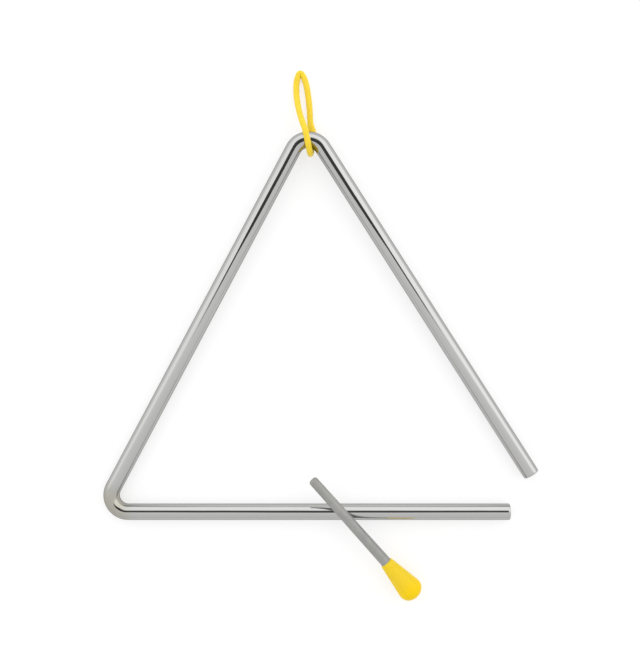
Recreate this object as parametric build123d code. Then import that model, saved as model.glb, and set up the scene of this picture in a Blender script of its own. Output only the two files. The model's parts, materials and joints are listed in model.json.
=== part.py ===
from build123d import *
from math import asin, atan, atan2, cos, degrees, hypot, pi, radians, sin, tan
import os

# A beginner's triangle with its hanging loop and its beater, lying on a table.
# X runs along the bottom leg, Y points from that leg to the top bend, and Z is up.
# The origin is on the table, under the middle of the triangle and its beater.
# Lengths are in millimetres and angles in degrees.

# The bent steel rod. Its legs are measured on the centreline, between sharp corners and free ends.
rod_diameter = 8.0
closed_leg = 216.8
right_leg = 205.1
bottom_leg = 202.1
top_angle = 60.75
heel_angle = 61.9
bend_radius = 8.3
end_chamfer = 0.5

# The hanging loop, a closed ring of soft cord that goes under the top bend and back over it.
cord_diameter = 3.0
loop_clearance = 0.3
loop_slack = 1.0
wrap_turn = 45.0
arc_run_share = 0.45

# The beater, a tapered steel shaft pushed into the blind bore of a moulded grip with a round head.
shaft_diameter = 5.4
shaft_tip_diameter = 4.6
shaft_reach = 55.1
shaft_tip_round = 1.2
grip_length = 23.2
grip_head_diameter = 12.15
grip_head_depth = 5.25
grip_neck_wall = 0.8
grip_neck_dome = 1.9
grip_neck_turn = 55.0
grip_lip = 0.08
grip_bore_depth = 17.5
bore_overrun = 1.0

# Where the beater lies: its shaft leans on the bottom leg, and its head rests on the table.
beater_crossing = 119.7
beater_head_run = 49.85
beater_heading = 131.25
beater_clearance = 0.3

# Radii
rod_radius = rod_diameter / 2
cord_radius = cord_diameter / 2
shaft_radius = shaft_diameter / 2
shaft_tip_radius = shaft_tip_diameter / 2
grip_head_radius = grip_head_diameter / 2
grip_neck_radius = shaft_radius + grip_neck_wall

# The triangle lies in its own plane, with its heel corner at zero and its bottom leg along X.
top_corner = Vector(closed_leg * cos(radians(heel_angle)), closed_leg * sin(radians(heel_angle)))
right_heading = heel_angle + 180 + top_angle
right_end = top_corner + Vector(
    right_leg * cos(radians(right_heading)), right_leg * sin(radians(right_heading))
)
top_bisector = heel_angle + 180 + top_angle / 2
top_inset = bend_radius / sin(radians(top_angle / 2))
bend_center = top_corner + Vector(
    top_inset * cos(radians(top_bisector)), top_inset * sin(radians(top_bisector))
)
top_reach = bend_center.Y + bend_radius

# The cord lies under the top bend and props it up by its own thickness, so that the triangle leans back
# about its bottom leg, which stays on the table. The loop hangs from the rod's axis at the top of the bend.
lean = degrees(asin((cord_diameter + loop_clearance) / top_reach))
triangle_place = Pos(0, 0, rod_radius) * Rot(lean, 0, 0)
hang_point = (triangle_place * Pos(bend_center.X, top_reach, 0)).position

# The route of the loop's centreline, measured from the hang point. It goes out along the table, round
# its far end, up over the rod, and down round the inside of the bend.
wrap_radius = rod_radius + loop_clearance + cord_radius
wrap_flat = wrap_radius * tan(radians(wrap_turn / 2))
on_table = -wrap_radius
over_rod = wrap_radius
inside_edge = -wrap_flat - loop_slack
inside_back = -wrap_radius - loop_slack
outgoing_strand = [
    (2.4, 4.4, on_table),
    (1.2, 9.0, on_table),
    (0.6, 15.8, on_table),
    (-0.05, 21.8, on_table),
    (-0.95, 27.8, on_table),
    (-2.1, 33.3, on_table),
]
returning_strand = [
    (-3.9, 34.15, on_table),
    (-5.6, 33.1, on_table),
    (-6.15, 28.0, on_table),
    (-6.05, 22.6, -5.2),
    (-4.95, 15.6, -1.9),
    (-3.25, 9.0, 2.6),
    (-1.3, 3.6, over_rod),
    (0.0, inside_edge, over_rod),
    (0.75, inside_back, wrap_flat),
    (1.1, inside_back, -wrap_flat),
    (1.5, inside_edge, on_table),
]

# The beater's own axis runs along X from the widest place of its head to the tip of its shaft.
neck_end = grip_length - grip_head_depth
cone_end = neck_end - grip_neck_dome
bore_end = neck_end - grip_bore_depth
tip_end = neck_end + shaft_reach

# Its slope follows from the head on the table and the shaft on the bottom leg, seen along that leg.
rest_share = (beater_head_run - neck_end) / shaft_reach
shaft_rest_radius = shaft_radius + (shaft_tip_radius - shaft_radius) * rest_share
head_rise = grip_head_radius - rod_radius
head_distance = beater_head_run * sin(radians(beater_heading))
shaft_standoff = rod_radius + beater_clearance + shaft_rest_radius
end_view_slope = asin(shaft_standoff / hypot(head_rise, head_distance)) - atan2(head_rise, head_distance)
beater_slope = degrees(atan(tan(end_view_slope) * sin(radians(beater_heading))))
head_point = Vector(
    beater_crossing - beater_head_run * cos(radians(beater_heading)), -head_distance, grip_head_radius
)
beater_place = Pos(head_point) * Rot(0, 0, beater_heading) * Rot(0, -beater_slope, 0)


def make_tube(centreline, radius):
    """A round section swept along a centreline."""
    section = Plane(origin=centreline @ 0, z_dir=centreline % 0) * Circle(radius)
    return sweep(section, path=centreline)


def make_triangle_rod():
    """One round rod, bent at the heel and at the top, with both free ends cut square and chamfered."""
    centreline = FilletPolyline((bottom_leg, 0), (0, 0), top_corner, right_end, radius=bend_radius)
    rod = make_tube(centreline, rod_radius)
    end_edges = rod.faces().filter_by(GeomType.PLANE).edges()
    return triangle_place * chamfer(end_edges, end_chamfer)


def arc_radii(route):
    """The largest arc that each corner of a closed route has room for."""
    radii = []
    for i, corner in enumerate(route):
        run_in = corner - route[i - 1]
        run_out = route[(i + 1) % len(route)] - corner
        shorter_run = min(run_in.length, run_out.length)
        half_turn = radians(run_in.get_angle(run_out)) / 2
        radii.append(arc_run_share * shorter_run / tan(half_turn))
    return radii


def make_hanging_loop():
    """The ring of cord, made as two strands that join under the rod and at the far end."""
    outgoing = [Vector(*point) for point in outgoing_strand]
    returning = [Vector(*point) for point in returning_strand]
    under_join = (returning[-1] + outgoing[0]) * 0.5
    far_join = (outgoing[-1] + returning[0]) * 0.5
    radii = arc_radii(outgoing + returning)
    outgoing_radii = radii[: len(outgoing)]
    returning_radii = radii[len(outgoing) :]
    outgoing_line = FilletPolyline(under_join, *outgoing, far_join, radius=outgoing_radii)
    returning_line = FilletPolyline(far_join, *returning, under_join, radius=returning_radii)
    loop = make_tube(outgoing_line, cord_radius) + make_tube(returning_line, cord_radius)
    length = outgoing_line.length + returning_line.length
    print("loop arc radii:", [round(radius, 1) for radius in radii])
    print("loop length:", round(length, 2))
    print("loop volume over section times length:", round(loop.volume / (pi * cord_radius**2 * length), 6))
    return Pos(hang_point) * loop


def make_beater_shaft():
    """The steel shaft: straight in the grip's bore, then tapered to a rounded tip."""
    seat_side = Polyline((bore_end, 0), (bore_end, shaft_radius), (neck_end, shaft_radius))
    free_side = Polyline((neck_end, shaft_radius), (tip_end, shaft_tip_radius), (tip_end, 0), (bore_end, 0))
    shaft = revolve(make_face(Curve() + [seat_side, free_side]), axis=Axis.X)
    tip_edge = shaft.edges().filter_by(GeomType.CIRCLE).sort_by(Axis.X)[-1]
    return beater_place * fillet(tip_edge, shaft_tip_round)


def make_beater_grip():
    """A cone that runs smoothly into a blunt round head and into a domed neck, with a blind bore."""
    crown_radius = grip_head_radius**2 / grip_head_depth
    crown_center = crown_radius - grip_head_depth
    shoulder_radius = grip_head_depth * (grip_head_depth + grip_head_radius) / grip_head_diameter
    shoulder_center = grip_head_radius - shoulder_radius
    crown_turn = atan2(shoulder_center, crown_center)
    foot_height = grip_neck_radius - shoulder_center
    cone_slope = asin(shoulder_radius / hypot(cone_end, foot_height)) - atan2(foot_height, cone_end)
    dome_slope = radians(grip_neck_turn)
    pole = (-grip_head_depth, 0)
    crown_edge = (crown_center - crown_radius * cos(crown_turn), crown_radius * sin(crown_turn))
    cone_start = (shoulder_radius * sin(cone_slope), shoulder_center + shoulder_radius * cos(cone_slope))
    neck_foot = (cone_end, grip_neck_radius)
    neck_lip = (neck_end, shaft_radius + grip_lip)
    crown = TangentArc(pole, crown_edge, tangent=(0, 1))
    shoulder = TangentArc(crown_edge, cone_start, tangent=crown % 1)
    cone_side = Line(cone_start, neck_foot)
    neck_dome = Spline(neck_foot, neck_lip, tangents=[cone_side % 1, (cos(dome_slope), -sin(dome_slope))])
    neck_face = Polyline(neck_lip, (neck_end, 0), pole)
    outline = Curve() + [crown, shoulder, cone_side, neck_dome, neck_face]
    grip = revolve(make_face(outline), axis=Axis.X)
    bore_plane = Plane(origin=(bore_end, 0, 0), z_dir=(1, 0, 0))
    bore = extrude(bore_plane * Circle(shaft_radius), amount=grip_bore_depth + bore_overrun)
    return beater_place * (grip - bore)


nodes = {
    "triangle_rod": make_triangle_rod(),
    "beater_shaft": make_beater_shaft(),
    "beater_grip": make_beater_grip(),
}
footprint = Compound(list(nodes.values())).bounding_box().center()
to_origin = Pos(-footprint.X, -footprint.Y, 0)
nodes["hanging_loop"] = make_hanging_loop()

os.makedirs("parts", exist_ok=True)
for name, solid in nodes.items():
    export_step(to_origin * solid, f"parts/{name}.step")
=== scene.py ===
import json
import math

import bmesh
import bpy
from mathutils import Matrix, Vector
from mathutils.geometry import interpolate_bezier


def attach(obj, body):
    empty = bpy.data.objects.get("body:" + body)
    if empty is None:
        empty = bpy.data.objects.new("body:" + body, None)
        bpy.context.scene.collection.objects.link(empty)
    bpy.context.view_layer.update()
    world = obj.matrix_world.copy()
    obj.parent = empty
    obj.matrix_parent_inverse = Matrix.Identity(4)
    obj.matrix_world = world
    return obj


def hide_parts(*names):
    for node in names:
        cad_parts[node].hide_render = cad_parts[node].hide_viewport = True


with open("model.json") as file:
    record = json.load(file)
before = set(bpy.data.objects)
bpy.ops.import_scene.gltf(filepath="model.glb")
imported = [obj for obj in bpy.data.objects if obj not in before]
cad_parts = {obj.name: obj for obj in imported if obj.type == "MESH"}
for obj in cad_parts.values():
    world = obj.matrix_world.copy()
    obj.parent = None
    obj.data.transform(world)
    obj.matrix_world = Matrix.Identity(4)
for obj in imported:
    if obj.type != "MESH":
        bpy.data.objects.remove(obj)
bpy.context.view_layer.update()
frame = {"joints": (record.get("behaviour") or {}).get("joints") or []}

# The sounding rod: one length of round steel bar, cut square, bent cold at the heel and at the top, and
# then chrome plated. Nothing fixes it: its bottom leg lies on the table and its top bend on the loop.

rod_radius = 0.0040
bottom_leg, closed_leg, right_leg = 0.2021, 0.2168, 0.2051
heel_angle, top_angle = math.radians(61.9), math.radians(60.75)
bend_radius = 0.0083
rod_end_round = 0.0005
top_prop = 0.0033
hang_point = Vector(next(joint["pos_m"] for joint in frame["joints"] if joint["name"] == "loop_swing"))
rod_sides, leg_cuts, bend_cuts, rod_end_cuts = 64, 40, 40, 4
end_cut = 0.0012
crease_angle = math.radians(35)

chrome_colour = (0.455, 0.455, 0.448, 1)
heel_tint_colour = (0.38, 0.363, 0.312, 1)
chrome_edge_tint = (0.5, 0.5, 0.5, 1)
heel_tint_core, heel_tint_reach = 0.002, 0.014
heel_tint_least, heel_tint_patches = 0.6, 0.5
polish_scale, handling_scale, sway_scale = 2600, 260, 150
polish_stretch, sway_stretch = (1, 1, 0.02), (1, 1, 0.35)
polish_depth, sway_depth = 0.000002, 0.00006
chrome_roughness, polish_roughness, handling_roughness = 0.03, 0.03, 0.05


class Wire:
    """One output of a node tree. Sums and products of wires add Math nodes to the tree."""

    def __init__(self, tree, socket=None):
        self.tree = tree
        self.socket = socket

    def node(self, kind, settings=None, sockets=None, output=0):
        """Adds a node, sets it, fills its sockets with values or wires, and returns one of its outputs."""
        made = self.tree.nodes.new(kind)
        for name, value in (settings or {}).items():
            setattr(made, name, value)
        for name, value in (sockets or {}).items():
            if isinstance(value, Wire):
                self.tree.links.new(value.socket, made.inputs[name])
            else:
                made.inputs[name].default_value = value
        return Wire(self.tree, made.outputs[output])

    def math(self, operation, first, second):
        return self.node("ShaderNodeMath", {"operation": operation}, {0: first, 1: second})

    def __add__(self, other):
        return self.math("ADD", self, other)

    def __sub__(self, other):
        return self.math("SUBTRACT", self, other)

    def __rsub__(self, other):
        return self.math("SUBTRACT", other, self)

    def __mul__(self, other):
        return self.math("MULTIPLY", self, other)

    __radd__ = __add__
    __rmul__ = __mul__

    def fade(self, start, end):
        """Rises smoothly from 0 to 1 as the value goes from start to end."""
        sockets = {"Value": self, "From Min": start, "From Max": end}
        return self.node("ShaderNodeMapRange", {"interpolation_type": "SMOOTHSTEP"}, sockets)

    def stretch(self, factors):
        return self.node("ShaderNodeVectorMath", {"operation": "MULTIPLY"}, {0: self, 1: factors})

    def axis(self, name):
        return self.node("ShaderNodeSeparateXYZ", {}, {0: self}, output=name)

    def noise(self, scale, detail):
        return self.node("ShaderNodeTexNoise", {}, {"Vector": self, "Scale": scale, "Detail": detail})

    def blend(self, first, second):
        """A colour that goes from the first to the second as this wire goes from 0 to 1."""
        return self.node("ShaderNodeMix", {"data_type": "RGBA"}, {0: self, 6: first, 7: second}, output=2)

    def bump(self, distance, normal=None):
        sockets = {"Height": self, "Distance": distance}
        if normal:
            sockets["Normal"] = normal
        return self.node("ShaderNodeBump", {}, sockets)

    def feed(self, shader, name):
        self.tree.links.new(self.socket, shader.inputs[name])


def new_finish(name):
    """A new material, its shader, and a wire with the place of each point on the piece as first made."""
    finish = bpy.data.materials.new(name)
    finish.use_nodes = True
    shader = finish.node_tree.nodes["Principled BSDF"]
    place_settings = {"attribute_name": "straight_place"}
    place = Wire(finish.node_tree).node("ShaderNodeAttribute", place_settings, output="Vector")
    return finish, shader, place


def make_bar(radius, sides, start, moves):
    """A round bar, grown by short moves. Each point keeps the place that it has on the straight bar."""
    bar = bmesh.new()
    straight = bar.verts.layers.float_vector.new("straight_place")
    bmesh.ops.create_circle(bar, cap_ends=True, segments=sides, radius=radius)
    for point in bar.verts:
        point[straight] = point.co
    bmesh.ops.transform(bar, matrix=start, verts=bar.verts)
    ring = bar.edges[:]
    for move, run in moves:
        grown = bmesh.ops.extrude_edge_only(bar, edges=ring)["geom"]
        points = {item for item in grown if isinstance(item, bmesh.types.BMVert)}
        bmesh.ops.transform(bar, matrix=move, verts=list(points))
        for point in points:
            point[straight] = point[straight] + Vector((0, 0, run))
        grown_edges = [item for item in grown if isinstance(item, bmesh.types.BMEdge)]
        ring = [edge for edge in grown_edges if points.issuperset(edge.verts)]
    bmesh.ops.contextual_create(bar, geom=ring)
    bmesh.ops.recalc_face_normals(bar, faces=bar.faces)
    return bar


def round_rim(shape, face, width, cuts):
    """Rounds the edges of one flat face."""
    bmesh.ops.bevel(
        shape, geom=face.edges[:], offset=width, offset_type="OFFSET", affect="EDGES",
        segments=cuts, profile=0.5, material=-1, clamp_overlap=True,
    )


def add_piece(name, shape, finish, body, node):
    """Makes a finished shape a piece that stands for a node and moves with a body."""
    mesh = bpy.data.meshes.new(name)
    for face in shape.faces:
        face.smooth = True
    shape.to_mesh(mesh)
    shape.free()
    mesh.set_sharp_from_angle(angle=crease_angle)
    mesh.materials.append(finish)
    piece = bpy.data.objects.new(name, mesh)
    bpy.context.scene.collection.objects.link(piece)
    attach(piece, body)
    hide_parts(node)
    return piece


def straight_moves(heading, length, cuts):
    step = Vector((math.cos(heading), math.sin(heading), 0)) * (length / cuts)
    return [(Matrix.Translation(step), step.length)] * cuts


def bend_moves(center, angle, cuts):
    turn = Matrix.Rotation(-angle / cuts, 4, "Z")
    move = Matrix.Translation(center) @ turn @ Matrix.Translation(-center)
    return [(move, bend_radius * angle / cuts)] * cuts


heel_run = bend_radius / math.tan(heel_angle / 2)
top_run = bend_radius / math.tan(top_angle / 2)
heel_turn, top_turn = math.pi - heel_angle, math.pi - top_angle
right_heading = heel_angle - top_turn
heel_center = Vector((heel_run, bend_radius, 0))
top_start = Vector((math.cos(heel_angle), math.sin(heel_angle), 0)) * (closed_leg - top_run)
top_center = top_start + Vector((math.sin(heel_angle), -math.cos(heel_angle), 0)) * bend_radius
rod_moves = straight_moves(math.pi, end_cut, 1)
rod_moves += straight_moves(math.pi, bottom_leg - heel_run - end_cut, leg_cuts)
rod_moves += bend_moves(heel_center, heel_turn, bend_cuts)
rod_moves += straight_moves(heel_angle, closed_leg - heel_run - top_run, leg_cuts)
rod_moves += bend_moves(top_center, top_turn, bend_cuts)
rod_moves += straight_moves(right_heading, right_leg - top_run - end_cut, leg_cuts)
rod_moves += straight_moves(right_heading, end_cut, 1)
rod_start = Matrix.Translation((bottom_leg, 0, 0)) @ Matrix.Rotation(-math.pi / 2, 4, "Y")
rod = make_bar(rod_radius, rod_sides, rod_start, rod_moves)
for end in [face for face in rod.faces if len(face.verts) == rod_sides]:
    round_rim(rod, end, rod_end_round, rod_end_cuts)
top_of_bend = top_center + Vector((0, bend_radius, 0))
lean = Matrix.Rotation(math.asin(top_prop / top_of_bend.y), 4, "X")
rod_place = Matrix.Translation(hang_point - lean @ top_of_bend) @ lean
bmesh.ops.transform(rod, matrix=rod_place, verts=rod.verts)

chrome, shader, place = new_finish("bright_chrome")
polish_lines = place.stretch(polish_stretch).noise(polish_scale, detail=3)
handling = place.noise(handling_scale, detail=4)
sway = place.stretch(sway_stretch).noise(sway_scale, detail=1)
along = place.axis("Z")
# Round the heel bend the chrome is given a warmer, darker base colour, in patches.
heel_middle = bottom_leg - heel_run + bend_radius * heel_turn / 2
tint_start = along.fade(heel_middle - heel_tint_reach, heel_middle - heel_tint_core)
tint_end = along.fade(heel_middle + heel_tint_core, heel_middle + heel_tint_reach)
patches = handling * heel_tint_patches + heel_tint_least
heel_tint = tint_start * (1 - tint_end) * patches
heel_tint.blend(chrome_colour, heel_tint_colour).feed(shader, "Base Color")
wear = polish_lines * polish_roughness + handling * handling_roughness
(wear + chrome_roughness).feed(shader, "Roughness")
polish_lines.bump(polish_depth, sway.bump(sway_depth)).feed(shader, "Normal")
shader.inputs["Metallic"].default_value = 1
shader.inputs["Specular Tint"].default_value = chrome_edge_tint
add_piece("bent_rod", rod, chrome, "triangle", "triangle_rod")

# The hanging loop: a ring of soft yellow plastic cord. It goes out on the table from under the top bend,
# folds back at its far end, rises over the bend and comes down round the inside, a little slack. Its inner
# sides are pressed together in the fold, and the rod's weight widens the cord that lies under it.

cord_diameter = 0.0030
loop_clearance, loop_slack = 0.0003, 0.0010
wrap_turn = math.radians(45)
wrap_radius = rod_radius + loop_clearance + cord_diameter / 2
wrap_flat = wrap_radius * math.tan(wrap_turn / 2)
on_table, over_rod = -wrap_radius, wrap_radius
inside_edge, inside_back = -wrap_flat - loop_slack, -wrap_radius - loop_slack
last_inside = (0.00150, inside_edge, on_table)
first_outside = (0.00215, 0.0044, on_table)
under_rod = [(inside + outside) / 2 for inside, outside in zip(last_inside, first_outside)]
loop_route = [
    under_rod,
    first_outside,
    (0.00080, 0.0086, on_table),
    (0.00060, 0.0158, on_table),
    (-0.00005, 0.0218, on_table),
    (-0.00095, 0.0278, on_table),
    (-0.00205, 0.0312, on_table),
    (-0.00300, 0.0333, on_table),
    (-0.00430, 0.0343, on_table),
    (-0.00520, 0.0327, on_table),
    (-0.00595, 0.0299, on_table),
    (-0.00615, 0.0275, on_table),
    (-0.00605, 0.0226, -0.0052),
    (-0.00495, 0.0156, -0.0019),
    (-0.00325, 0.0090, 0.0026),
    (-0.00130, 0.0036, over_rod),
    (0.00000, inside_edge, over_rod),
    (0.00075, inside_back, wrap_flat),
    (0.00110, inside_back, -wrap_flat),
    last_inside,
    under_rod,
]
route_cuts, cord_round_cuts = 20, 10
fold_tip, fold_throat = Vector((-0.0042, 0.0340, 0)), Vector((-0.0039, 0.0305, 0))
fold_fill_share = 0.7
squeeze_middle, squeeze_reach, squeeze_share = 0.0040, 0.0060, 0.34

cord_colour = (0.845, 0.625, 0.046, 1)
cord_shade_colour = (0.82, 0.597, 0.037, 1)
mottle_scale, pulled_scale = 700, 2200
mottle_fade, pulled_stretch = (0.3, 0.7), (1, 1, 0.05)
mottle_depth, pulled_depth = 0.00002, 0.000006
cord_roughness, mottle_roughness = 0.36, 0.12
cord_gloss, cord_glow = 0.18, 0.25
plastic_light_reach, plastic_light_depth = (1.0, 0.6, 0.15), 0.0015

loop_line = bpy.data.curves.new("loop_line", "CURVE")
loop_line.dimensions = "3D"
loop_line.resolution_u = route_cuts
spline = loop_line.splines.new("NURBS")
spline.points.add(len(loop_route) - 1)
for point, spot in zip(spline.points, loop_route):
    point.co = (*(hang_point + Vector(spot)), 1)
spline.order_u = 3
spline.use_endpoint_u = True
line_holder = bpy.data.objects.new("loop_line", loop_line)
centreline = [point.co.copy() for point in bpy.data.meshes.new_from_object(line_holder).vertices]
loop_line.bevel_depth = cord_diameter / 2
loop_line.bevel_resolution = cord_round_cuts
loop = bmesh.new()
loop.from_mesh(bpy.data.meshes.new_from_object(line_holder))
bpy.data.objects.remove(line_holder)
along_cord = loop.verts.layers.float_vector.new("straight_place")
loop.verts.ensure_lookup_table()
ring_size = len(loop.verts) // len(centreline)
rings = [loop.verts[first : first + ring_size] for first in range(0, len(loop.verts), ring_size)]
across_fold = (fold_tip - fold_throat).cross(Vector((0, 0, 1))).normalized()
travelled = 0
for i, (ring, middle) in enumerate(zip(rings, centreline)):
    travelled += (middle - centreline[max(i - 1, 0)]).length
    from_bend = middle - hang_point
    in_fold = from_bend.y > fold_throat.y
    strand_side = across_fold.dot(from_bend - fold_tip)
    squeeze = max(0, 1 - abs(from_bend.y - squeeze_middle) / squeeze_reach) if from_bend.z < 0 else 0
    for k, point in enumerate(ring):
        turn = 2 * math.pi * k / ring_size
        around = Vector((math.cos(turn), math.sin(turn), 0)) * cord_diameter / 2
        point[along_cord] = around + Vector((0, 0, travelled))
        point_side = across_fold.dot(point.co - hang_point - fold_tip)
        if in_fold and point_side * strand_side < 0:
            height = point.co.z - middle.z
            point.co -= across_fold * point_side
            point.co.z += math.copysign(cord_diameter / 2 - abs(height), height) * fold_fill_share
        point.co.x += (point.co.x - middle.x) * squeeze * squeeze_share
bmesh.ops.delete(loop, geom=rings[-1], context="VERTS")
open_edges = [edge for edge in loop.edges if len(edge.link_faces) == 1]
bmesh.ops.bridge_loops(loop, edges=open_edges)
bmesh.ops.recalc_face_normals(loop, faces=loop.faces)

soft_cord, shader, place = new_finish("soft_yellow_cord")
mottle = place.noise(mottle_scale, detail=3)
pulled_lines = place.stretch(pulled_stretch).noise(pulled_scale, detail=2)
mottle.fade(*mottle_fade).blend(cord_shade_colour, cord_colour).feed(shader, "Base Color")
(mottle * mottle_roughness + cord_roughness).feed(shader, "Roughness")
pulled_lines.bump(pulled_depth, mottle.bump(mottle_depth)).feed(shader, "Normal")
shader.inputs["Specular IOR Level"].default_value = cord_gloss
shader.inputs["Subsurface Weight"].default_value = cord_glow
shader.inputs["Subsurface Radius"].default_value = plastic_light_reach
shader.inputs["Subsurface Scale"].default_value = plastic_light_depth
loop_cord = add_piece("loop_cord", loop, soft_cord, "loop", "hanging_loop")

# The beater's shaft: a piece of satin steel rod, tapered to a rounded tip and pushed into the grip. It leans
# on the bottom leg of the triangle, and its other end is held up by the grip's head.

shaft_radius, shaft_tip_radius = 0.0027, 0.0023
shaft_seat, grip_neck, shaft_tip = 0.00045, 0.01795, 0.07305
shaft_tip_round = 0.0012
seat_gap = 0.00002
head_point = Vector((0.0438649, -0.109458, 0.006075))
beater_heading, beater_slope = math.radians(131.25), math.radians(5.4402)
beater_place = Matrix.Translation(head_point) @ Matrix.Rotation(beater_heading, 4, "Z")
beater_place = beater_place @ Matrix.Rotation(-beater_slope, 4, "Y")
shaft_sides, seat_cuts, taper_cuts, shaft_tip_cuts = 48, 8, 24, 6

steel_colour = (0.375, 0.373, 0.360, 1)
steel_worn_colour = (0.350, 0.348, 0.337, 1)
grain_scale, cloud_scale = 3200, 220
grain_stretch, cloud_fade = (1, 1, 0.03), (0.35, 0.7)
grain_depth = 0.000012
steel_roughness, grain_roughness, cloud_roughness = 0.50, 0.14, 0.10

shaft_start = Matrix.Translation((shaft_seat + seat_gap, 0, 0)) @ Matrix.Rotation(math.pi / 2, 4, "Y")
shaft_moves = straight_moves(0, grip_neck - shaft_seat - seat_gap, seat_cuts)
narrowing = (shaft_tip_radius / shaft_radius) ** (1 / taper_cuts)
for move, run in straight_moves(0, shaft_tip - grip_neck, taper_cuts):
    shaft_moves.append((move @ Matrix.Diagonal((1, narrowing, narrowing, 1)), run))
shaft = make_bar(shaft_radius, shaft_sides, shaft_start, shaft_moves)
shaft_ends = [face for face in shaft.faces if len(face.verts) == shaft_sides]
tip_face = max(shaft_ends, key=lambda face: face.calc_center_median().x)
round_rim(shaft, tip_face, shaft_tip_round, shaft_tip_cuts)
bmesh.ops.transform(shaft, matrix=beater_place, verts=shaft.verts)

satin_steel, shader, place = new_finish("satin_steel")
grain = place.stretch(grain_stretch).noise(grain_scale, detail=4)
cloud = place.noise(cloud_scale, detail=3)
cloud.fade(*cloud_fade).blend(steel_colour, steel_worn_colour).feed(shader, "Base Color")
(grain * grain_roughness + cloud * cloud_roughness + steel_roughness).feed(shader, "Roughness")
grain.bump(grain_depth).feed(shader, "Normal")
shader.inputs["Metallic"].default_value = 1
add_piece("shaft_bar", shaft, satin_steel, "beater", "beater_shaft")

# The beater's grip: a soft yellow plastic moulding, a cone that runs into a round head. Its blind bore is
# pressed onto the shaft, and its domed neck closes round the steel.

grip_head_radius, grip_head_depth, grip_neck_radius = 0.006075, 0.00525, 0.0035
neck_dome, neck_lip = 0.0019, 0.00008
neck_turn = math.radians(55)
bore_wall_gap = 0.00003
crown_cuts, shoulder_cuts, dome_cuts, grip_sides = 12, 16, 12, 72
weld_distance = 0.000001

grip_colour = (0.78, 0.555, 0.026, 1)
grip_head_colour = (0.83, 0.57, 0.004, 1)
head_colour_run, colour_drift = 0.010, 0.004
flow_scale, pore_scale = 240, 2600
flow_stretch = (0.5, 1, 1)
flow_depth, pore_depth = 0.00003, 0.000006
grip_roughness, flow_roughness, pore_roughness = 0.26, 0.08, 0.06
grip_gloss, grip_glow = 0.10, 0.20

crown_radius = grip_head_radius**2 / grip_head_depth
crown_center = crown_radius - grip_head_depth
shoulder_radius = grip_head_depth * (grip_head_depth + grip_head_radius) / (2 * grip_head_radius)
shoulder_center = grip_head_radius - shoulder_radius
crown_turn = math.atan2(shoulder_center, crown_center)
cone_end = grip_neck - neck_dome
foot_height = grip_neck_radius - shoulder_center
foot_distance = math.hypot(cone_end, foot_height)
cone_slope = math.asin(shoulder_radius / foot_distance) - math.atan2(foot_height, cone_end)
grip = bmesh.new()
outline_end = bmesh.ops.create_vert(grip, co=(-grip_head_depth, 0, 0))["vert"][0]
head_arcs = [
    ((crown_center, 0, 0), crown_turn, crown_cuts),
    ((0, shoulder_center, 0), math.pi / 2 - crown_turn + cone_slope, shoulder_cuts),
]
for arc_center, arc_turn, cuts in head_arcs:
    arc = bmesh.ops.spin(
        grip, geom=[outline_end], cent=arc_center, axis=(0, 0, 1), angle=-arc_turn, steps=cuts
    )
    outline_end = next(item for item in arc["geom_last"] if isinstance(item, bmesh.types.BMVert))
bore_radius = shaft_radius + bore_wall_gap
neck_foot = Vector((cone_end, grip_neck_radius, 0))
neck_rim = Vector((grip_neck, shaft_radius + neck_lip, 0))
pull = (neck_rim - neck_foot).length / 3
foot_pull = neck_foot + Vector((math.cos(cone_slope), -math.sin(cone_slope), 0)) * pull
rim_pull = neck_rim - Vector((math.cos(neck_turn), -math.sin(neck_turn), 0)) * pull
corners = interpolate_bezier(neck_foot, foot_pull, rim_pull, neck_rim, dome_cuts)
corners += [(grip_neck, bore_radius, 0), (shaft_seat, bore_radius, 0), (shaft_seat, 0, 0)]
for corner in corners:
    next_point = bmesh.ops.create_vert(grip, co=corner)["vert"][0]
    grip.edges.new((outline_end, next_point))
    outline_end = next_point
bmesh.ops.spin(
    grip, geom=grip.verts[:] + grip.edges[:], cent=(0, 0, 0), axis=(1, 0, 0), angle=2 * math.pi,
    steps=grip_sides, use_merge=True,
)
bmesh.ops.remove_doubles(grip, verts=grip.verts, dist=weld_distance)
bmesh.ops.recalc_face_normals(grip, faces=grip.faces)
moulded_place = grip.verts.layers.float_vector.new("straight_place")
for point in grip.verts:
    point[moulded_place] = point.co
bmesh.ops.transform(grip, matrix=beater_place, verts=grip.verts)

yellow_plastic, shader, place = new_finish("moulded_yellow_plastic")
flow = place.stretch(flow_stretch).noise(flow_scale, detail=3)
pores = place.noise(pore_scale, detail=2)
along = place.axis("X") + flow * colour_drift
along.fade(0, head_colour_run).blend(grip_head_colour, grip_colour).feed(shader, "Base Color")
(flow * flow_roughness + pores * pore_roughness + grip_roughness).feed(shader, "Roughness")
pores.bump(pore_depth, flow.bump(flow_depth)).feed(shader, "Normal")
shader.inputs["Specular IOR Level"].default_value = grip_gloss
shader.inputs["Subsurface Weight"].default_value = grip_glow
shader.inputs["Subsurface Radius"].default_value = plastic_light_reach
shader.inputs["Subsurface Scale"].default_value = plastic_light_depth
add_piece("grip_moulding", grip, yellow_plastic, "beater", "beater_grip")

# The table: a plain pale sheet that glows a little, as a light table does, so that the shadows on it stay
# faint. It is stage, and no piece of the object.

table_size = 8.0
table_colour = (0.36, 0.36, 0.36, 1)
table_glow_colour = (1, 1, 1, 1)
table_roughness, table_glow = 0.9, 0.62

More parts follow.
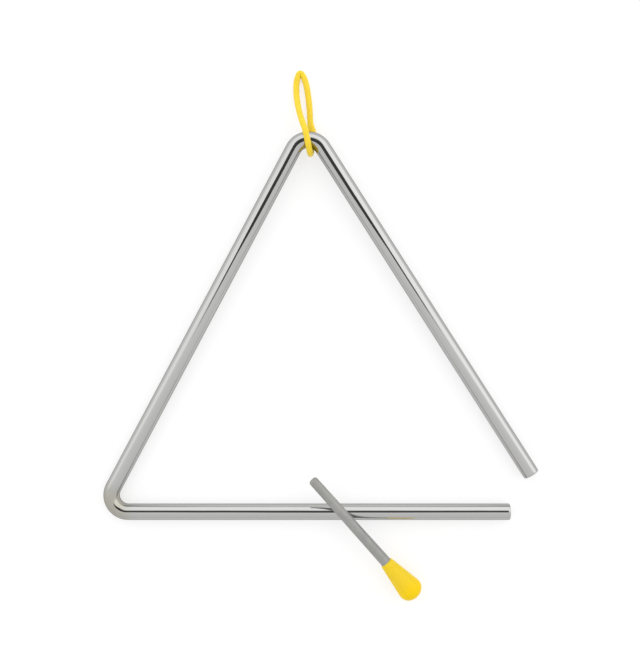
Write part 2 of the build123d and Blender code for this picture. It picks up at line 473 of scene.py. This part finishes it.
table_shape = bmesh.new()
bmesh.ops.create_grid(table_shape, x_segments=1, y_segments=1, size=table_size / 2)
table_mesh = bpy.data.meshes.new("table")
table_shape.to_mesh(table_mesh)
table_shape.free()
table_finish = bpy.data.materials.new("pale_table")
table_finish.use_nodes = True
shader = table_finish.node_tree.nodes["Principled BSDF"]
shader.inputs["Base Color"].default_value = table_colour
shader.inputs["Roughness"].default_value = table_roughness
shader.inputs["Emission Color"].default_value = table_glow_colour
shader.inputs["Emission Strength"].default_value = table_glow
table_mesh.materials.append(table_finish)
table = bpy.data.objects.new("table", table_mesh)
bpy.context.scene.collection.objects.link(table)

# A dark card: it stands over the top bend, edge on to the bottom leg, and the chrome of the upper legs shows
# it as a dark line. It is stage that is seen in reflections alone, and it shades nothing.

card_place = Vector((-0.008, 0.130, 0.273))
card_foot = Vector((0, -0.072, 0.008))
card_half_width, card_half_depth = 0.100, 0.135
card_sides = 64
card_colour = (0.05, 0.05, 0.05, 1)

card_shape = bmesh.new()
card_rise = card_place - card_foot
card_tilt = Matrix.Rotation(math.atan2(card_rise.z, card_rise.y), 4, "X")
card_spread = Matrix.Diagonal((card_half_width, card_half_depth, 1, 1))
card_matrix = Matrix.Translation(card_place) @ card_tilt @ card_spread
bmesh.ops.create_circle(card_shape, cap_ends=True, segments=card_sides, radius=1, matrix=card_matrix)
card_mesh = bpy.data.meshes.new("dark_card")
card_shape.to_mesh(card_mesh)
card_shape.free()
card_finish = bpy.data.materials.new("dark_card")
card_finish.use_nodes = True
shader = card_finish.node_tree.nodes["Principled BSDF"]
shader.inputs["Base Color"].default_value = card_colour
shader.inputs["Roughness"].default_value = 1
card_mesh.materials.append(card_finish)
card = bpy.data.objects.new("dark_card", card_mesh)
card.visible_camera = card.visible_diffuse = card.visible_shadow = False
bpy.context.scene.collection.objects.link(card)

# The light: one big soft dome with a brighter panel beyond the triangle's top, and a dark slot overhead that
# the chrome shows as a thin line. Each pair is two directions, between which a part of the dome fades.

dome_strength = 1.2
sky_light, high_light, far_light = 0.71, 0.10, 0.12
sky_rise, sky_run = (0.0, 0.35), (-0.9, 0.1)
panel_light, panel_side_light = 0.40, 0.14
panel_run, panel_rise = (-0.02, 0.22), (0.05, 0.40)
slot_near, slot_far, slot_sides = (-0.16, -0.08), (0.26, 0.60), (0.195, 0.27)
wedge_spread, wedge_edge = 2.5, (-0.25, -0.06)
slot_dark = 0.96

dome = bpy.data.worlds.new("soft_dome")
dome.use_nodes = True
bpy.context.scene.world = dome
toward = Wire(dome.node_tree).node("ShaderNodeTexCoord", output="Generated")
side, ahead, up = toward.axis("X"), toward.axis("Y"), toward.axis("Z")
aside = side.math("ABSOLUTE", side, 0)
wedge = (ahead * wedge_spread - aside).fade(*wedge_edge)
slot = wedge * ahead.fade(*slot_near) * (1 - ahead.fade(*slot_far)) * (1 - aside.fade(*slot_sides))
panel = ahead.fade(*panel_run) * up.fade(*panel_rise) * (side * panel_side_light + panel_light)
sky = up.fade(*sky_rise) * high_light + ahead.fade(*sky_run) * far_light + sky_light
backdrop = dome.node_tree.nodes["Background"]
((sky + panel) * (1 - slot * slot_dark)).feed(backdrop, "Color")
backdrop.inputs["Strength"].default_value = dome_strength

# The camera hangs straight over the table, as in the photograph.

camera_place = (-0.00027, 0.018023, 0.498)
focal_pixels, picture_height = 1000, 659
sensor_width, nearest_sight = 36, 0.01

camera_data = bpy.data.cameras.new("overhead_camera")
camera_data.sensor_width = sensor_width
camera_data.lens = sensor_width * focal_pixels / picture_height
camera_data.clip_start = nearest_sight
camera = bpy.data.objects.new("overhead_camera", camera_data)
camera.location = camera_place
bpy.context.scene.collection.objects.link(camera)
bpy.context.scene.camera = camera
bpy.context.scene.view_settings.view_transform = "Standard"
